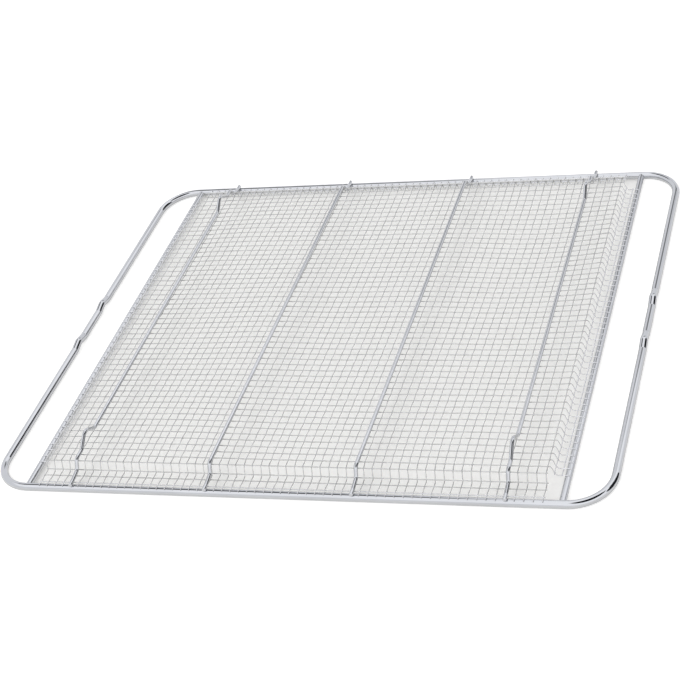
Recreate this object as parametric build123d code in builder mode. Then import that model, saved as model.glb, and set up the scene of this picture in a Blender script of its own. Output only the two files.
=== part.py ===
# Oven rack of round wire with a raised platform of wire mesh.
# Millimetres, +Z up, front towards -Y, origin under the middle of the frame.
import os

from build123d import *

os.makedirs("parts", exist_ok=True)

# Frame
RACK_WIDTH = 466.0  # over the side rails
RACK_DEPTH = 390.0  # over the front and back rails
RAIL_DIAMETER = 6.0
CORNER_RADIUS = 29.0  # on the centreline of the rail
STOP_SPACING = 50.0  # between the two stop bumps of a side rail
STOP_LENGTH = 18.0
STOP_RISE = 2.0
STOP_BEND = 6.0

# Crossbars
CROSSBAR_DIAMETER = 5.0
SIDE_GAP = 31.0  # side rail to crossbar, centre to centre

# Mesh panel, drawn with every sixth strand of the real mesh
PLATFORM_TOP = 14.2
STRAND_WIDTH = 1.2
STRAND_THICKNESS = 0.8
STRAND_LAP = 0.3  # how far crossing strands sink into each other
WRAP_CLEARANCE = 0.05
FOLD_RADIUS = 1.5
FRONT_FLANGE = 18.0  # rail centre to the top of the front wall
FRONT_WALL_RUN = 3.0
SIDE_FLANGE = 10.5  # crossbar centre to the top of the side wall
SIDE_WALL_RUN = 2.5
EDGE_MARGIN = 2.6  # fold to the outermost strand
FLANGE_STRAND_PLACE = 9.8  # rail centre to the strand along the flange
RAIL_WRAP = 15.0  # degrees past the top of the rail
CROSSBAR_WRAP = 50.0  # degrees past the top of the crossbar
LENGTHWISE_STRANDS = 11
CROSSWISE_STRANDS = 10

# Wires over the mesh
WIRE_DIAMETER = 3.0
INNER_WIRE_SHARE = 0.276  # of the way from the middle to a crossbar
OUTER_WIRE_SHARE = 0.8125
WIRE_BEND = 4.0
WIRE_TIP = 2.0  # past the centre of the rail
WELD_DEPTH = 0.3  # how far a wire is pressed into the rail
WELD_RUN = 3.5  # level stretch before the centre of the rail
WIRE_FOLD = 17.4  # rail centre to the top bend
WIRE_FOOT = 13.4  # rail centre to the foot bend
WIRE_FOOT_HEIGHT = 8.75
TIP_CHAMFER = 0.4
HUMP_RISE = 6.8
HUMP_START = 51.5  # each measured from the rail centre
HUMP_TOP_START = 41.5
HUMP_TOP_END = 37.5
HUMP_END = 27.0

# Places that follow from the sizes above
rail_radius = RAIL_DIAMETER / 2
rail_x = RACK_WIDTH / 2 - rail_radius
rail_y = RACK_DEPTH / 2 - rail_radius
crossbar_x = rail_x - SIDE_GAP
crossbar_radius = CROSSBAR_DIAMETER / 2
crosswise_z = PLATFORM_TOP - STRAND_THICKNESS / 2
lengthwise_z = crosswise_z - STRAND_THICKNESS + STRAND_LAP
front_fold_y = rail_y - FRONT_FLANGE
side_fold_x = crossbar_x - SIDE_FLANGE
rail_wrap_radius = rail_radius + WRAP_CLEARANCE + STRAND_THICKNESS / 2
crossbar_wrap_radius = crossbar_radius + WRAP_CLEARANCE + STRAND_THICKNESS / 2
mesh_half_width = side_fold_x - EDGE_MARGIN
mesh_half_depth = front_fold_y - EDGE_MARGIN
wire_radius = WIRE_DIAMETER / 2

# Frame: a quarter of the loop, mirrored twice
stop_y = STOP_SPACING / 2
with BuildPart() as frame:
    with BuildLine() as quarter_rail:
        FilletPolyline(
            (0, -rail_y, rail_radius),
            (rail_x, -rail_y, rail_radius),
            (rail_x, -stop_y - STOP_LENGTH / 2, rail_radius),
            (rail_x, -stop_y, rail_radius + STOP_RISE),
            (rail_x, -stop_y + STOP_LENGTH / 2, rail_radius),
            (rail_x, 0, rail_radius),
            radius=(CORNER_RADIUS, STOP_BEND, STOP_BEND, STOP_BEND),
        )
    with BuildSketch(Plane(origin=quarter_rail.line @ 0, z_dir=quarter_rail.line % 0)):
        Circle(rail_radius)
    sweep(path=quarter_rail.wires()[0])
    mirror(about=Plane.XZ)
    mirror(about=Plane.YZ)
frame.part.label = "frame"
export_step(frame.part, "parts/frame.step")

# Crossbars: straight rods, coped to the round of the front and back rails
for side, name in ((-1, "left_crossbar"), (1, "right_crossbar")):
    with BuildPart() as crossbar:
        with BuildSketch(Plane(origin=(side * crossbar_x, 0, rail_radius), z_dir=(0, 1, 0))):
            Circle(crossbar_radius)
        extrude(amount=rail_y, both=True)
        add(frame.part, mode=Mode.SUBTRACT)
    crossbar.part.label = name
    export_step(crossbar.part, f"parts/{name}.step")

# Wires over the mesh: level on the platform, down both walls, welded on top of the rails
weld_z = RAIL_DIAMETER + wire_radius - WELD_DEPTH
platform_wire_z = PLATFORM_TOP + wire_radius
hump = [
    (rail_y - HUMP_START, platform_wire_z),
    (rail_y - HUMP_TOP_START, platform_wire_z + HUMP_RISE),
    (rail_y - HUMP_TOP_END, platform_wire_z + HUMP_RISE),
    (rail_y - HUMP_END, platform_wire_z),
]
step_down = [
    (rail_y - WIRE_FOLD, platform_wire_z),
    (rail_y - WIRE_FOOT, WIRE_FOOT_HEIGHT),
    (rail_y - WELD_RUN, weld_z),
    (rail_y + WIRE_TIP, weld_z),
]
inner_x = INNER_WIRE_SHARE * crossbar_x
outer_x = OUTER_WIRE_SHARE * crossbar_x
for wire_x, half_route, name in (
    (-outer_x, hump + step_down, "outer_left_wire"),
    (-inner_x, step_down, "inner_left_wire"),
    (inner_x, step_down, "inner_right_wire"),
    (outer_x, hump + step_down, "outer_right_wire"),
):
    with BuildPart() as wire:
        with BuildLine() as route:
            front_half = [(wire_x, -y, z) for y, z in reversed(half_route)]
            back_half = [(wire_x, y, z) for y, z in half_route]
            FilletPolyline(front_half + back_half, radius=WIRE_BEND)
        with BuildSketch(Plane(origin=route.line @ 0, z_dir=route.line % 0)):
            Circle(wire_radius)
        sweep(path=route.wires()[0])
        tips = wire.faces().sort_by(Axis.Y)
        chamfer(tips[0].edges() + tips[-1].edges(), length=TIP_CHAMFER)
        add(frame.part, mode=Mode.SUBTRACT)
    wire.part.label = name
    export_step(wire.part, f"parts/{name}.step")

# One lengthwise strand: wrapped over both rails, along the flanges, up the walls and over the platform
flange_z = rail_radius + rail_wrap_radius
with BuildPart() as lengthwise_strand:
    with BuildSketch(Plane.YZ) as lengthwise_profile:
        with BuildLine() as lengthwise_line:
            FilletPolyline(
                (-rail_y, flange_z),
                (-front_fold_y - FRONT_WALL_RUN, flange_z),
                (-front_fold_y, lengthwise_z),
                (front_fold_y, lengthwise_z),
                (front_fold_y + FRONT_WALL_RUN, flange_z),
                (rail_y, flange_z),
                radius=FOLD_RADIUS,
            )
            CenterArc((rail_y, rail_radius), rail_wrap_radius, 90, -RAIL_WRAP)
            CenterArc((-rail_y, rail_radius), rail_wrap_radius, 90, RAIL_WRAP)
        trace(line_width=STRAND_THICKNESS)
    extrude(amount=STRAND_WIDTH / 2, both=True)

# One crosswise strand: wrapped over both crossbars, up the side walls and over the platform
crossbar_top_z = rail_radius + crossbar_wrap_radius
with BuildPart() as crosswise_strand:
    with BuildSketch(Plane.XZ) as crosswise_profile:
        with BuildLine() as crosswise_line:
            FilletPolyline(
                (-crossbar_x, crossbar_top_z),
                (-side_fold_x - SIDE_WALL_RUN, crossbar_top_z),
                (-side_fold_x, crosswise_z),
                (side_fold_x, crosswise_z),
                (side_fold_x + SIDE_WALL_RUN, crossbar_top_z),
                (crossbar_x, crossbar_top_z),
                radius=FOLD_RADIUS,
            )
            CenterArc((crossbar_x, rail_radius), crossbar_wrap_radius, 90, -CROSSBAR_WRAP)
            CenterArc((-crossbar_x, rail_radius), crossbar_wrap_radius, 90, CROSSBAR_WRAP)
        trace(line_width=STRAND_THICKNESS)
    extrude(amount=STRAND_WIDTH / 2, both=True)

# Mesh panel: the two sets of strands, with one more strand along each flange
lengthwise_pitch = 2 * mesh_half_width / (LENGTHWISE_STRANDS - 1)
crosswise_pitch = 2 * mesh_half_depth / (CROSSWISE_STRANDS - 1)
flange_strand_y = rail_y - FLANGE_STRAND_PLACE
flange_strand_z = flange_z - STRAND_THICKNESS + STRAND_LAP
with BuildPart() as mesh_panel:
    with GridLocations(lengthwise_pitch, 0, LENGTHWISE_STRANDS, 1):
        add(lengthwise_strand.part)
    with GridLocations(0, crosswise_pitch, 1, CROSSWISE_STRANDS):
        add(crosswise_strand.part)
    with Locations((0, -flange_strand_y, flange_strand_z), (0, flange_strand_y, flange_strand_z)):
        Box(2 * mesh_half_width + STRAND_WIDTH, STRAND_WIDTH, STRAND_THICKNESS)
mesh_panel.part.label = "mesh_panel"
export_step(mesh_panel.part, "parts/mesh_panel.step")
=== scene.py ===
# Looks for the oven rack with a raised wire mesh platform.
# Metres, +Z up, front towards -Y, origin under the middle of the frame.
import math

import bpy
from mathutils import Matrix, Vector


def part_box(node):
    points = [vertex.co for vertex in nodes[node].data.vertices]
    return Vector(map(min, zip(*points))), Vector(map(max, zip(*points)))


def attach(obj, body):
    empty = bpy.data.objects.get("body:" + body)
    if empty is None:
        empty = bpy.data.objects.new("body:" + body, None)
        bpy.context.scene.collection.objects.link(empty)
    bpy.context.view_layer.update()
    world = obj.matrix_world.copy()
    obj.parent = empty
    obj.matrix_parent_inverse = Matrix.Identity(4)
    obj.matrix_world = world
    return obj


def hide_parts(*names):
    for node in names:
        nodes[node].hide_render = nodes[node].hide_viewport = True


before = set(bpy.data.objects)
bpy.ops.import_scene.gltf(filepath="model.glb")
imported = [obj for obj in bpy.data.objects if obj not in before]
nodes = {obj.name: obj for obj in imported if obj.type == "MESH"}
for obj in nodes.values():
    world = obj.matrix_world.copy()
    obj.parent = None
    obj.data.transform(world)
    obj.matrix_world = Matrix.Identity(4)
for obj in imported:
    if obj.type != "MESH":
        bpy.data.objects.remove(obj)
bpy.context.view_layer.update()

MM = 0.001

# Camera, at the photograph's place
CAMERA_PLACE = Vector((0.4290, -0.9179, 0.7271))
CAMERA_AIM = Vector((-0.0055, -0.0181, 0.0))
CAMERA_ROLL = math.radians(-16.05)
CAMERA_LENS = 84.76
CAMERA_SENSOR = 36.0

# Studio light: a wide overhead light, a dark gap round it, and paler walls below
OVERHEAD_AXIS = (0.331, -0.169, 0.928)
# Degrees from the axis: light ends, full dark, dark ends, walls start
GAP_EDGES = (57.5, 60.5, 69.0, 73.0)
# The gap's middle, degrees at full depth, degrees to its ends
GAP_REACH = ((0.280, 0.862, 0.423), 25, 34)
# Lamps that light part of the gap: (direction, degrees full, degrees to nothing, share)
GAP_FILLS = (
    ((0.39, 0.76, 0.52), 4, 14, 0.9),
    ((0.0, 0.79, 0.62), 8, 20, 0.25),
    ((0.579, 0.741, 0.342), 5, 10, 0.95),
)
# Unlit parts of the room: (direction, degrees fully dark, degrees to the edge)
DARK_SPOTS = (
    ((0.866, 0.350, 0.358), 22, 26),
    ((0.671, 0.452, 0.588), 13, 16),
    (OVERHEAD_AXIS, 22, 27),
    ((-0.421, 0.468, 0.777), 8, 12),
    ((-0.429, 0.311, 0.848), 8, 12),
)
OVERHEAD_LIGHT = (1.22, 1.23, 1.26)
WALL_LIGHT = (0.93, 0.94, 0.97)
DARK = (0.03, 0.03, 0.035)
FLOOR_TONE = (0.742, 0.732, 0.705)
OPEN_GLOW = 0.62  # lifts the open floor to white
PAINTED_SHADE_GLOW = 0.31  # and the floor between the crossbars to a pale grey, a painted shade under the rack; the metal sees the floor at this glow
FLOOR_SIZE = 8.0
PANEL_PLACE = (-0.9, -1.2, 1.6)
PANEL_SIZE = (1.2, 0.8)
PANEL_POWER = 4

# Sizes read from the frame
_, frame_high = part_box("frame")
bar_low, bar_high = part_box("right_crossbar")
wire_low, wire_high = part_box("inner_right_wire")
WIRE_RADIUS = (wire_high.x - wire_low.x) / 2
BAR_RADIUS = (bar_high.x - bar_low.x) / 2
BAR_X = (bar_high.x + bar_low.x) / 2
BAR_Z = (bar_high.z + bar_low.z) / 2
RAIL_RADIUS = 3.0 * MM
RAIL_Y = frame_high.y - RAIL_RADIUS
PLATFORM_TOP = wire_high.z - 2 * WIRE_RADIUS

# Woven mesh
STRAND_RADIUS = 0.38 * MM
COLUMN_WEAVE = 0.42 * MM  # rise and fall of a lengthwise strand at a crossing
ROW_WEAVE = 0.08 * MM  # and of a crosswise one, which is drawn straighter
ROW_PITCH = 6.444 * MM
COLUMN_PITCH = 6.35 * MM
COLUMN_PHASE = 2.7 * MM  # the first column right of the middle
ROWS_EACH_WAY = 27  # from the middle row to the row on a fold
COLUMNS_LEFT = 30
COLUMNS_RIGHT = 29
SEAT_GAP = 0.05 * MM  # strand to the round of a rail or crossbar
FRONT_FLANGE = 18.0 * MM  # rail centre to the fold
FRONT_WALL_RUN = 2.7 * MM
WALL_FOOT_RISE = 1.0 * MM  # flange to the foot of the wall
WALL_FOOT_RUN = 1.2 * MM  # foot of the wall to the level flange
FLANGE_ROWS = (9.8 * MM, 3.0 * MM)  # rail centre to the rows along the front flange
BACK_ROW = 5.0 * MM  # and to the last row along the back flange
BACK_ROW_DROP = 0.3 * MM  # that row under the level flange
BACK_END = (2.0 * MM, 2.8 * MM)  # before and above the back rail's centre
SIDE_FLANGE = 10.5 * MM  # crossbar centre to the fold
SIDE_WALL_RUN = 2.5 * MM
SIDE_COLUMN = 3.7 * MM  # crossbar centre to the column along the flange
RAIL_WRAP = 26  # degrees past the top of the front rail
BAR_WRAPS = (4, 40)  # the left crossbar's and the right one's
TAIL = 1.2 * MM  # cut end of a strand past its last crossing
ON_FOLD = 0.1 * MM  # a strand this near to a fold lies on it
STRAND_SIDES = 6
BACK_SHEEN_START = 2 * MM  # back fold to the painted sheen, a paler tone
SHEEN_BLUR = 1 * MM  # over which the painted sheen comes in, each way

FOLD_Y = RAIL_Y - FRONT_FLANGE
FOLD_X = BAR_X - SIDE_FLANGE
MESH_Z = PLATFORM_TOP - STRAND_RADIUS - COLUMN_WEAVE
RAIL_SEAT = RAIL_RADIUS + SEAT_GAP + STRAND_RADIUS
BAR_SEAT = BAR_RADIUS + STRAND_RADIUS / 2  # half sunk in the weld
FLANGE_Z = RAIL_RADIUS + RAIL_SEAT - STRAND_RADIUS
# Where the painted sheen along each edge of the mesh starts, a paler tone for the bright light the
# folded walls and flanges mirror: (axis, how far out, which way)
PAINTED_SHEEN_EDGES = (
    ("X", FOLD_X, -1.0),
    ("X", FOLD_X, 1.0),
    ("Y", RAIL_Y - RAIL_RADIUS, -1.0),
    ("Y", FOLD_Y + BACK_SHEEN_START, 1.0),
)


def bell(x, y, place, reach):
    """A smooth hill of height 1 at a place, with its reach along X and Y."""
    across = (x - place[0] * MM) / (reach[0] * MM)
    along = (y - place[1] * MM) / (reach[1] * MM)
    return math.exp(-(across * across + along * along))


def hold(x, y):
    """1 over the platform, falling to 0 at its folds, which keep the mesh in line."""
    across = 1 - min(1.0, abs(x) / FOLD_X) ** 10
    along = 1 - min(1.0, abs(y) / FOLD_Y) ** 10
    return across * along


def drift(x, y):
    """How far the hand-worked mesh has moved from a true grid, as the photograph shows it."""
    held = hold(x, y)
    row_shift = (
        -5.2 * bell(x, y, (140, 80), (62, 110))
        + 2.2 * bell(x, y, (-115, 125), (55, 55))
        + 2.0 * bell(x, y, (-65, -20), (40, 60))
        + 1.4 * bell(x, y, (-110, -120), (80, 60))
        - 0.8 * bell(x, y, (20, -140), (60, 40))
    )
    column_shift = (
        0.0055 * y / MM
        + 2.0 * bell(x, y, (-175, 75), (45, 80))
        - 1.1 * bell(x, y, (-62, -30), (30, 80))
        + 0.6 * bell(x, y, (120, 100), (40, 80))
        - 0.9 * bell(x, y, (120, -150), (45, 50))
    )
    sag = (
        -1.2 * bell(x, y, (-178, 70), (20, 90))
        - 1.6 * bell(x, y, (180, -140), (22, 60))
        - 0.8 * bell(x, y, (110, 60), (45, 90))
        - 0.6 * bell(x, y, (0, 30), (45, 120))
        + 0.12 * math.sin(x / (19 * MM)) * math.sin(y / (23 * MM) + 1)
    )
    return Vector((column_shift * held, row_shift * held, sag * held)) * MM


def around(radius, degrees):
    """A point on a round seat: degrees past its top, outwards and up."""
    turn = math.radians(degrees)
    return radius * math.sin(turn), radius * math.cos(turn)


# A mesh edge is followed outwards from its fold: (run out from the fold, height, crossing here)
def wall():
    """The front or back wall of a lengthwise strand, with the first row on its flange."""
    return [
        (0.0, MESH_Z, True),
        (0.6 * FRONT_WALL_RUN, 0.45 * MESH_Z + 0.55 * FLANGE_Z, False),
        (FRONT_WALL_RUN, FLANGE_Z + WALL_FOOT_RISE, True),
        (FRONT_WALL_RUN + WALL_FOOT_RUN, FLANGE_Z, False),
        (FRONT_FLANGE - FLANGE_ROWS[0], FLANGE_Z, True),
    ]


def front_edge():
    """The folded front edge of a lengthwise strand, which ends on top of the rail."""
    stops = [*wall(), (FRONT_FLANGE - FLANGE_ROWS[1], FLANGE_Z, True)]
    for degrees in (0, RAIL_WRAP):
        out, up = around(RAIL_SEAT, degrees)
        stops.append((FRONT_FLANGE + out, RAIL_RADIUS + up, False))
    return stops


def back_edge():
    """The folded back edge of a lengthwise strand, which ends on the inner side of the rail."""
    before, above = BACK_END
    return [
        *wall(),
        (FRONT_FLANGE - BACK_ROW, FLANGE_Z - BACK_ROW_DROP, True),
        (FRONT_FLANGE - before, RAIL_RADIUS + above, False),
    ]


def side_edge(wrap):
    """The folded side edge of a crosswise strand, which ends so many degrees past the bar's top."""
    top = BAR_Z + BAR_SEAT
    stops = [
        (0.0, MESH_Z - 0.2 * MM, False),
        (0.3 * SIDE_WALL_RUN, MESH_Z - 1.5 * MM, False),
        (0.8 * SIDE_WALL_RUN, 0.25 * MESH_Z + 0.75 * top, True),
        (1.3 * SIDE_WALL_RUN, top, False),
        (SIDE_FLANGE - SIDE_COLUMN, top, True),
    ]
    for degrees in (0, wrap / 2, wrap):
        out, up = around(BAR_SEAT, degrees)
        stops.append((SIDE_FLANGE + out, BAR_Z + up, False))
    return stops


def with_tails(points):
    """A strand's points with a short cut end past the first and last crossing."""
    first, last = points[0], points[-1]
    before = first + (first - points[1]).normalized() * TAIL
    after = last + (last - points[-2]).normalized() * TAIL
    return [before, *points, after]


def strand(curve, points):
    """One straight-drawn wire through its crossings."""
    spline = curve.splines.new("POLY")
    spline.points.add(len(points) - 1)
    for place, point in zip(points, spline.points):
        point.co = (*place, 1.0)


def woven_mesh():
    """The mesh panel: strands over and under each other, folded down to the rails and crossbars."""
    curve = bpy.data.curves.new("mesh_strands", "CURVE")
    curve.dimensions = "3D"
    curve.bevel_depth = STRAND_RADIUS
    curve.bevel_resolution = (STRAND_SIDES - 4) // 2
    curve.use_fill_caps = True

    columns = [COLUMN_PHASE + i * COLUMN_PITCH for i in range(-COLUMNS_LEFT, COLUMNS_RIGHT + 1)]
    rows = [j * ROW_PITCH for j in range(-ROWS_EACH_WAY, ROWS_EACH_WAY + 1)]
    rows[0], rows[-1] = -FOLD_Y, FOLD_Y
    left, right = (side_edge(wrap) for wrap in BAR_WRAPS)

    # Stops along each kind of strand, front to back and left to right: (place, height, crossing)
    lengthwise = [(-FOLD_Y - out, z, crossing) for out, z, crossing in reversed(front_edge())]
    lengthwise += [(y, MESH_Z, True) for y in rows[1:-1]]
    lengthwise += [(FOLD_Y + out, z, crossing) for out, z, crossing in back_edge()]
    crosswise = [(-FOLD_X - out, z, crossing) for out, z, crossing in reversed(left)]
    crosswise += [(x, MESH_Z, True) for x in columns]
    crosswise += [(FOLD_X + out, z, crossing) for out, z, crossing in right]

    def over(i, j):
        """Which way the lengthwise strand i goes at row j: 1 over it, -1 under it."""
        return 1 if (i + j) % 2 else -1

    crossing_rows = [stop for stop in lengthwise if stop[2]]
    crossing_columns = [stop for stop in crosswise if stop[2]]

    for i, (x, column_z, _) in enumerate(crossing_columns):
        on_platform = abs(x) < FOLD_X - ON_FOLD
        points, j = [], 0
        for y, z, crossing in lengthwise:
            rise = COLUMN_WEAVE * over(i, j) if crossing else 0.0
            j += crossing
            if on_platform:
                points.append(Vector((x, y, z + rise)) + drift(x, y))
            elif crossing and abs(y) < FOLD_Y - ON_FOLD:
                points.append(Vector((x, y, column_z + rise)))
        strand(curve, points if on_platform else with_tails(points))

    for j, (y, row_z, _) in enumerate(crossing_rows):
        on_platform = abs(y) < FOLD_Y - ON_FOLD
        points, i = [], 0
        for x, z, crossing in crosswise:
            rise = -ROW_WEAVE * over(i, j) if crossing else 0.0
            i += crossing
            if on_platform:
                points.append(Vector((x, y, z + rise)) + drift(x, y))
            elif crossing and abs(x) < FOLD_X - ON_FOLD:
                points.append(Vector((x, y, row_z + rise)))
        strand(curve, points if on_platform else with_tails(points))

    holder = bpy.data.objects.new("mesh_strands", curve)
    bpy.context.scene.collection.objects.link(holder)
    bpy.context.view_layer.update()
    evaluated = holder.evaluated_get(bpy.context.evaluated_depsgraph_get())
    mesh = bpy.data.meshes.new_from_object(evaluated)
    bpy.data.objects.remove(holder)
    mesh.polygons.foreach_set("use_smooth", [True] * len(mesh.polygons))
    piece = bpy.data.objects.new("woven_mesh", mesh)
    bpy.context.scene.collection.objects.link(piece)
    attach(piece, "root")
    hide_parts("mesh_panel")
    return piece


def combine(tree, operation, first, second):
    """A sum, product or comparison of two values, each a socket or a number."""
    node = tree.nodes.new("ShaderNodeMath")
    node.operation = operation
    for value, socket in zip((first, second), node.inputs):
        if isinstance(value, float):
            socket.default_value = value
        else:
            tree.links.new(value, socket)
    return node.outputs["Value"]


def soft_step(tree, value, start, end, low, high):
    """A smooth change from low to high as a value goes from start to end."""
    node = tree.nodes.new("ShaderNodeMapRange")
    node.interpolation_type = "SMOOTHSTEP"
    for name, number in (("From Min", start), ("From Max", end), ("To Min", low), ("To Max", high)):
        node.inputs[name].default_value = number
    tree.links.new(value, node.inputs["Value"])
    return node.outputs["Result"]


def facing(tree, direction):
    """The cosine of the angle between where the world is looked at and a direction."""
    place = tree.nodes.new("ShaderNodeTexCoord")
    node = tree.nodes.new("ShaderNodeVectorMath")
    node.operation = "DOT_PRODUCT"
    node.inputs[1].default_value = Vector(direction).normalized()
    tree.links.new(place.outputs["Generated"], node.inputs[0])
    return node.outputs["Value"]


def patch(tree, direction, full, nothing, outside, inside):
    """A soft round patch of the world: inside up to full degrees, outside from nothing on."""
    start, end = math.cos(math.radians(nothing)), math.cos(math.radians(full))
    return soft_step(tree, facing(tree, direction), start, end, outside, inside)


def blend(tree, share, first, second):
    """A mix of two colours, each a socket or a colour."""
    node = tree.nodes.new("ShaderNodeMix")
    node.data_type = "RGBA"
    tree.links.new(share, node.inputs["Factor"])
    for value, name in ((first, "A"), (second, "B")):
        if isinstance(value, tuple):
            node.inputs[name].default_value = (*value, 1)
        else:
            tree.links.new(value, node.inputs[name])
    return node.outputs["Result"]


def metal(name, tone, mottle, roughness, mottle_size, painted_sheen_tone=None):
    """Bare metal of uneven tone and polish, with a painted sheen if given: a paler tone along the
    mesh's folded edges, standing in for the bright light they mirror.
    """
    material = bpy.data.materials.new(name)
    material.use_nodes = True
    tree = material.node_tree
    shader = tree.nodes["Principled BSDF"]
    shader.inputs["Metallic"].default_value = 1.0
    place = tree.nodes.new("ShaderNodeTexCoord")
    noise = tree.nodes.new("ShaderNodeTexNoise")
    noise.inputs["Scale"].default_value = 1 / mottle_size
    noise.inputs["Detail"].default_value = 4.0
    tree.links.new(place.outputs["Object"], noise.inputs["Vector"])
    colour = tree.nodes.new("ShaderNodeValToRGB")
    colour.color_ramp.elements[0].position = 0.35
    colour.color_ramp.elements[1].position = 0.65
    colour.color_ramp.elements[0].color = (*[c * (1 - mottle) for c in tone], 1)
    colour.color_ramp.elements[1].color = (*tone, 1)
    tree.links.new(noise.outputs["Fac"], colour.inputs["Fac"])
    shown = colour.outputs["Color"]
    # Painted sheen: the mesh is paler past each edge, for the light its folds mirror
    if painted_sheen_tone:
        apart = tree.nodes.new("ShaderNodeSeparateXYZ")
        tree.links.new(place.outputs["Object"], apart.inputs["Vector"])
        sheen_mask = 0.0
        for axis, start, way in PAINTED_SHEEN_EDGES:
            away = combine(tree, "MULTIPLY", apart.outputs[axis], way)
            past = soft_step(tree, away, start - SHEEN_BLUR, start + SHEEN_BLUR, 0.0, 1.0)
            sheen_mask = combine(tree, "MAXIMUM", past, sheen_mask)
        shown = blend(tree, sheen_mask, shown, painted_sheen_tone)
    tree.links.new(shown, shader.inputs["Base Color"])
    polish = tree.nodes.new("ShaderNodeMapRange")
    polish.inputs["From Min"].default_value = 0.3
    polish.inputs["From Max"].default_value = 0.7
    polish.inputs["To Min"].default_value = roughness[0]
    polish.inputs["To Max"].default_value = roughness[1]
    tree.links.new(noise.outputs["Fac"], polish.inputs["Value"])
    tree.links.new(polish.outputs["Result"], shader.inputs["Roughness"])
    return material


def finish(names, material):
    """Gives the CAD nodes their material."""
    for name in names:
        for place in nodes[name].material_slots:
            place.material = material


def studio_camera():
    """The camera that the photograph was fitted with."""
    data = bpy.data.cameras.new("camera")
    data.lens = CAMERA_LENS
    data.sensor_width = CAMERA_SENSOR
    camera = bpy.data.objects.new("camera", data)
    bpy.context.scene.collection.objects.link(camera)
    turn = (CAMERA_AIM - CAMERA_PLACE).to_track_quat("-Z", "Y").to_matrix().to_4x4()
    roll = Matrix.Rotation(CAMERA_ROLL, 4, "Z")
    camera.matrix_world = Matrix.Translation(CAMERA_PLACE) @ turn @ roll
    bpy.context.scene.camera = camera


def softbox(name, place, size, power):
    """A soft lamp aimed at the rack, which polished metal does not mirror."""
    data = bpy.data.lights.new(name, "AREA")
    data.shape = "RECTANGLE"
    data.size, data.size_y = size
    data.energy = power
    lamp = bpy.data.objects.new(name, data)
    lamp.location = place
    lamp.visible_glossy = False
    lamp.rotation_euler = (-Vector(place)).to_track_quat("-Z", "Y").to_euler()
    bpy.context.scene.collection.objects.link(lamp)


def white_floor():
    """Pale paper that is white in the open, with a painted shade: a lower glow between the
    crossbars and rails makes it a little grey under the rack, over the rack's own shadow.
    """
    bpy.ops.mesh.primitive_plane_add(size=FLOOR_SIZE)
    floor = bpy.context.object
    floor.name = "floor"
    material = bpy.data.materials.new("white_floor")
    material.use_nodes = True
    tree = material.node_tree
    tree.nodes.clear()
    paper = tree.nodes.new("ShaderNodeBsdfDiffuse")
    paper.inputs["Color"].default_value = (*FLOOR_TONE, 1)
    place = tree.nodes.new("ShaderNodeTexCoord")
    apart = tree.nodes.new("ShaderNodeSeparateXYZ")
    tree.links.new(place.outputs["Object"], apart.inputs["Vector"])
    # Painted shade: a mask of the rectangle between the crossbars and rails, where the camera sees
    # less glow
    painted_shade_mask = 1.0
    for axis, sheen_mask in (("X", BAR_X), ("Y", RAIL_Y)):
        away = combine(tree, "ABSOLUTE", apart.outputs[axis], 0.0)
        painted_shade_mask = combine(tree, "MULTIPLY", combine(tree, "LESS_THAN", away, sheen_mask), painted_shade_mask)
    painted_shade_dimming = combine(tree, "MULTIPLY", painted_shade_mask, OPEN_GLOW - PAINTED_SHADE_GLOW)
    glow_with_painted_shade = combine(tree, "SUBTRACT", OPEN_GLOW, painted_shade_dimming)
    path = tree.nodes.new("ShaderNodeLightPath")
    camera_glow = combine(tree, "MULTIPLY", path.outputs["Is Camera Ray"], glow_with_painted_shade)
    metal_glow = combine(tree, "MULTIPLY", path.outputs["Is Glossy Ray"], PAINTED_SHADE_GLOW)
    glow = tree.nodes.new("ShaderNodeEmission")
    tree.links.new(combine(tree, "MAXIMUM", camera_glow, metal_glow), glow.inputs["Strength"])
    both = tree.nodes.new("ShaderNodeAddShader")
    tree.links.new(paper.outputs["BSDF"], both.inputs[0])
    tree.links.new(glow.outputs["Emission"], both.inputs[1])
    output = tree.nodes.new("ShaderNodeOutputMaterial")
    tree.links.new(both.outputs["Shader"], output.inputs["Surface"])
    floor.data.materials.append(material)


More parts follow.
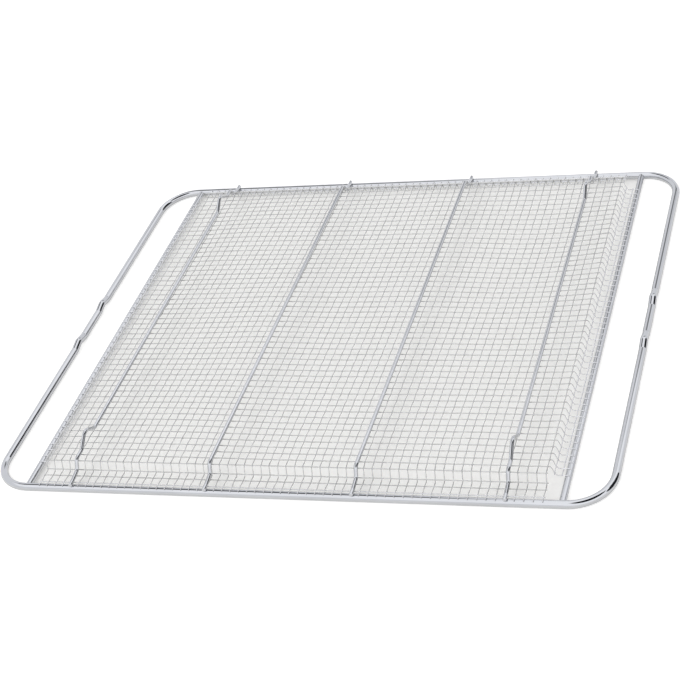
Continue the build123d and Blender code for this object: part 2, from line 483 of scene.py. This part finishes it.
def studio_world():
    """A wide overhead light with a dark gap round it, which polished metal shows as streaks."""
    world = bpy.data.worlds.new("studio")
    bpy.context.scene.world = world
    world.use_nodes = True
    tree = world.node_tree
    edges = [math.cos(math.radians(degrees)) for degrees in GAP_EDGES]
    height = facing(tree, OVERHEAD_AXIS)
    overhead = soft_step(tree, height, edges[2], edges[1], 0.0, 1.0)
    gap = combine(
        tree,
        "MULTIPLY",
        soft_step(tree, height, edges[1], edges[0], 1.0, 0.0),
        soft_step(tree, height, edges[3], edges[2], 0.0, 1.0),
    )
    gap = combine(tree, "MULTIPLY", gap, patch(tree, *GAP_REACH, 0.0, 1.0))
    for *lamp, share in GAP_FILLS:
        gap = combine(tree, "MULTIPLY", gap, patch(tree, *lamp, 1.0, 1.0 - share))
    for spot in DARK_SPOTS:
        gap = combine(tree, "MAXIMUM", gap, patch(tree, *spot, 0.0, 1.0))
    light = blend(tree, gap, blend(tree, overhead, WALL_LIGHT, OVERHEAD_LIGHT), DARK)
    path = tree.nodes.new("ShaderNodeLightPath")
    seen = blend(tree, path.outputs["Is Camera Ray"], light, (1.0, 1.0, 1.0))
    tree.links.new(seen, tree.nodes["Background"].inputs["Color"])


rail_chrome = metal("rail_chrome", (0.62, 0.628, 0.65), 0.05, (0.03, 0.06), 30 * MM)
wire_chrome = metal("wire_chrome", (0.63, 0.638, 0.66), 0.08, (0.03, 0.06), 12 * MM)
# Mesh steel with a painted sheen: a paler tone along the folded edges, for the bright light they
# mirror
mesh_steel = metal(
    "mesh_steel", (0.68, 0.68, 0.67), 0.15, (0.18, 0.30), 8 * MM, painted_sheen_tone=(0.84, 0.84, 0.85)
)

finish(("frame", "left_crossbar", "right_crossbar"), rail_chrome)
finish(
    ("outer_left_wire", "inner_left_wire", "inner_right_wire", "outer_right_wire"), wire_chrome
)
woven_mesh().data.materials.append(mesh_steel)

studio_camera()
white_floor()
studio_world()
softbox("front_left_panel", PANEL_PLACE, PANEL_SIZE, PANEL_POWER)

bpy.context.scene.view_settings.view_transform = "Standard"
